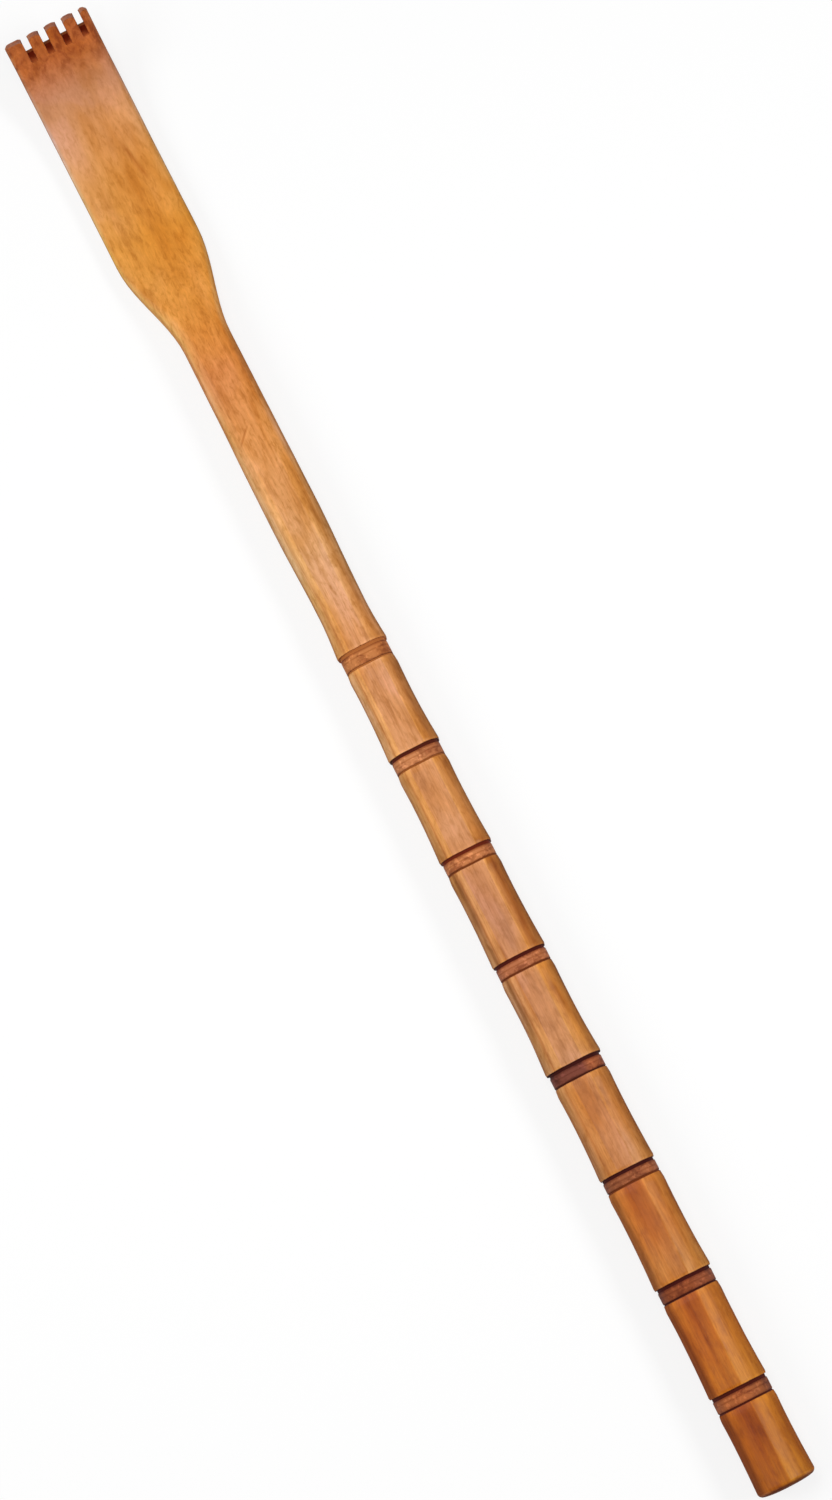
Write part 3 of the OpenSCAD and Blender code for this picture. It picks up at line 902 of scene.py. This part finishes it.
stainLook = {
    # the tone of each band, from the head to the butt
    "tones": ((180, 112, 60), (186, 120, 74), (186, 116, 68), (168, 100, 62),
              (108, 54, 40), (142, 80, 46), (130, 64, 30), (160, 88, 44)),
    # the tone toward the right of the photo, where some bands took less stain
    "rightTones": ((172, 102, 50), (172, 104, 62), (176, 108, 62), (172, 102, 60),
                   (158, 86, 48), (156, 90, 52), (138, 72, 40), (142, 78, 40)),
    "rightFrom": (-2.2, -4.4),
    # painted shade: each band darker toward both sides
    "edges": ((-8.5, (0.66, 0.62, 0.6)), (-5.5, (1, 1, 1)), (5.5, (1, 1, 1)), (8.5, (0.62, 0.58, 0.6))),
    # darker toward the cuts, painted shadow under the lip and painted shade at the heel, with one scored
    # line: mm across the groove
    "lipShadow": ((0.4, (1, 1, 1)), (0.9, (0.66, 0.52, 0.4)), (1.35, (0.32, 0.18, 0.08))),
    "heelShade": ((-1.85, (0.36, 0.26, 0.16)), (-1.4, (0.92, 0.88, 0.82)), (-0.9, (1, 1, 1))),
    "score": ((-0.75, (1, 1, 1)), (-0.4, (0.74, 0.64, 0.52)), (-0.05, (1, 1, 1))),
    # scraped streaks and light specks
    "scraped": ((420, 260, 260), 4.0, 0.65, 0.5), "scrapedShare": 0.9,
    "scrapedTones": ((0.36, (0.55, 0.42, 0.34)), (0.55, (1, 1, 1))),
    "specks": ((700, 700, 700), 2.0), "speckTones": ((0.52, (1, 1, 1)), (0.64, (1.35, 1.42, 1.6))),
    "roughness": 0.65, "specular": 0.15, "bump": 0.35, "bumpDepth": 0.3,
}


def makeStain(look):
    material, tree, shader = newMaterial("stained_band")
    at = surfacePlace(tree)
    colour = byGroove(tree, at["x"], [linear(*tone) for tone in look["tones"]])
    right = byGroove(tree, at["x"], [linear(*tone) for tone in look["rightTones"]])
    toRight = rangeNode(tree, at["y"], *(place * mm for place in look["rightFrom"]))
    colour = tint(tree, colour, right, toRight, "MIX")
    colour = tint(tree, colour, acrossStick(tree, at["y"], tones(look["edges"])))
    scraped = noiseNode(tree, at["coords"], *look["scraped"])
    specks = noiseNode(tree, at["coords"], *look["specks"])
    colour = tint(tree, colour, rampNode(tree, scraped, tones(look["scrapedTones"])), look["scrapedShare"])
    colour = tint(tree, colour, rampNode(tree, specks, tones(look["speckTones"])))
    fromLip, fromHeel = fromGroove(tree, at["x"])[1:]
    for line, across in (("lipShadow", fromLip), ("score", fromLip), ("heelShade", fromHeel)):
        colour = tint(tree, colour, acrossGroove(tree, across, tones(look[line])))
    tree.links.new(colour, shader.inputs["Base Color"])
    shader.inputs["Roughness"].default_value = look["roughness"]
    shader.inputs["Specular IOR Level"].default_value = look["specular"]
    layBump(tree, shader, look, scraped)
    return material


def dress(piece, material):
    piece.data.materials.clear()
    piece.data.materials.append(material)


dress(body, makeWood(woodLook))
stain = makeStain(stainLook)
for band in bands:
    dress(band, stain)
print("wood and stain laid on")


# camera, light and floor

photoView = {"place": (-0.2199, -0.00064, 1.1887), "aim": (-0.0054, -0.00064, 0.008), "roll": -27.0,
             "lens": 95.25, "sensor": 36}


def addCamera(view):
    place = Vector(view["place"])
    look = (Vector(view["aim"]) - place).to_track_quat("-Z", "Y")
    turned = look @ Quaternion((0, 0, 1), math.radians(view["roll"]))
    bpy.ops.object.camera_add(location=place, rotation=turned.to_euler())
    camera = bpy.context.object
    camera.data.sensor_fit = "VERTICAL"
    camera.data.sensor_height = view["sensor"]
    camera.data.lens = view["lens"]
    bpy.context.scene.camera = camera


softBoxes = {
    "overhead_box": {"place": (0.02, 0.04, 0.64), "aim": (0.02, 0, 0), "size": (0.28, 0.26), "power": 1.5},
    "left_box": {"place": (0.3, 0.85, 0.8), "aim": (0.05, 0, 0), "size": (1.0, 0.6), "power": 7},
    "right_box": {"place": (-0.25, -0.75, 0.8), "aim": (-0.15, 0, 0), "size": (0.6, 0.25), "power": 6.5},
}


def addSoftBox(name, box):
    turned = (Vector(box["aim"]) - Vector(box["place"])).to_track_quat("-Z", "Y")
    bpy.ops.object.light_add(type="AREA", location=box["place"], rotation=turned.to_euler())
    lamp = bpy.context.object
    lamp.name = name
    lamp.data.shape = "RECTANGLE"
    lamp.data.size, lamp.data.size_y = box["size"]
    lamp.data.energy = box["power"]


# the floor lies a little below the stick, and glows to plain white away from it
floorLook = {"size": 6, "drop": 0.2, "colour": 0.85, "glow": 0.78, "roughness": 0.9, "fade": (0.3, 0.7)}
worldLook = {"light": 0.25}


def seenRays(tree):  # rays that see the backdrop as it is; the others are lit by it
    path = addNode(tree, "LightPath").outputs
    seen = (path[f"Is {kind} Ray"] for kind in ("Camera", "Glossy", "Transmission"))
    return mathNode(tree, "MAXIMUM", *seen)


def addFloor(look):
    clearSelection()
    bpy.ops.mesh.primitive_plane_add(size=look["size"], location=(0, 0, cadLow.z - look["drop"] * mm))
    floor = bpy.context.object
    floor.name = "floor"
    material, tree, shader = newMaterial("white_paper")
    shader.inputs["Base Color"].default_value = grey(look["colour"])
    shader.inputs["Roughness"].default_value = look["roughness"]
    shader.inputs["Specular IOR Level"].default_value = 0.0
    glow = addNode(tree, "Emission", {"Color": grey(1), "Strength": 1.0})
    away = addNode(tree, "VectorMath", {0: addNode(tree, "TexCoord").outputs["Object"]}, operation="LENGTH")
    share = rangeNode(tree, away.outputs["Value"], *look["fade"], look["glow"], 1.0)
    share = mathNode(tree, "MULTIPLY", seenRays(tree), share)  # the rest is lit paper, which keeps the shadow
    paper = addNode(tree, "MixShader", {0: share, 1: shader.outputs[0], 2: glow.outputs[0]})
    tree.links.new(paper.outputs[0], tree.nodes["Material Output"].inputs["Surface"])
    floor.data.materials.append(material)


def addWorld(look):
    world = bpy.data.worlds.new("studio")
    world.use_nodes = True
    tree = world.node_tree
    background = tree.nodes["Background"]
    background.inputs["Color"].default_value = grey(1)
    level = rangeNode(tree, seenRays(tree), 0.0, 1.0, look["light"], 1.0)
    tree.links.new(level, background.inputs["Strength"])
    bpy.context.scene.world = world


clearSelection()
addCamera(photoView)
for name, box in softBoxes.items():
    addSoftBox(name, box)
addFloor(floorLook)
addWorld(worldLook)
bpy.context.scene.view_settings.view_transform = "Standard"
clearSelection()
print("camera, light and floor placed")
